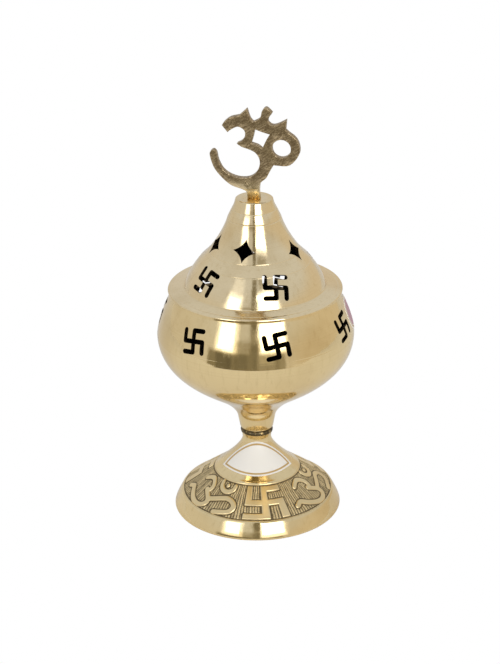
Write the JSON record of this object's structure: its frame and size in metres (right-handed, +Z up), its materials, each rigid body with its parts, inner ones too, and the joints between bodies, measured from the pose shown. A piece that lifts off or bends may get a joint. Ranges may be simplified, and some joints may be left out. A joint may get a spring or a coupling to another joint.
{
  "type": "incense burner",
  "caption": "Footed brass incense burner: a pierced bowl on a turned stem and foot, with a pierced lift-off lid topped by a flat Om finial.",
  "frame": {"origin": "centre of the foot's underside, on the surface that it stands on", "axes": "+Z up along the turned axis; -Y is the front, the side that the Om finial reads from; +X is the viewer's right"},
  "size_m": [0.0826, 0.0826, 0.1783],
  "materials": {
    "polished_brass": "polished, with fine turning lines",
    "engraved_brass": "polished, with an oxidised engraved ground",
    "cast_brass": "as cast, dull",
    "fastener_brass": "machined, dull",
    "paper_label": "plain coated paper sticker"
  },
  "bodies": {
    "base": {"foot": "engraved_brass", "bowl": "polished_brass", "stem_stud": "fastener_brass", "foot_washer": "fastener_brass", "foot_nut": "fastener_brass", "foot_label": "paper_label", "bowl_label": "paper_label"},
    "lid": {"lid": "polished_brass", "om_finial": "cast_brass", "finial_washer": "fastener_brass", "finial_nut": "fastener_brass"}
  },
  "joints": [
    {"name": "lid_lift", "type": "slide", "parent": "base", "child": "lid", "axis": [0, 0, 1], "range_m": [0, 0.12]}
  ]
}
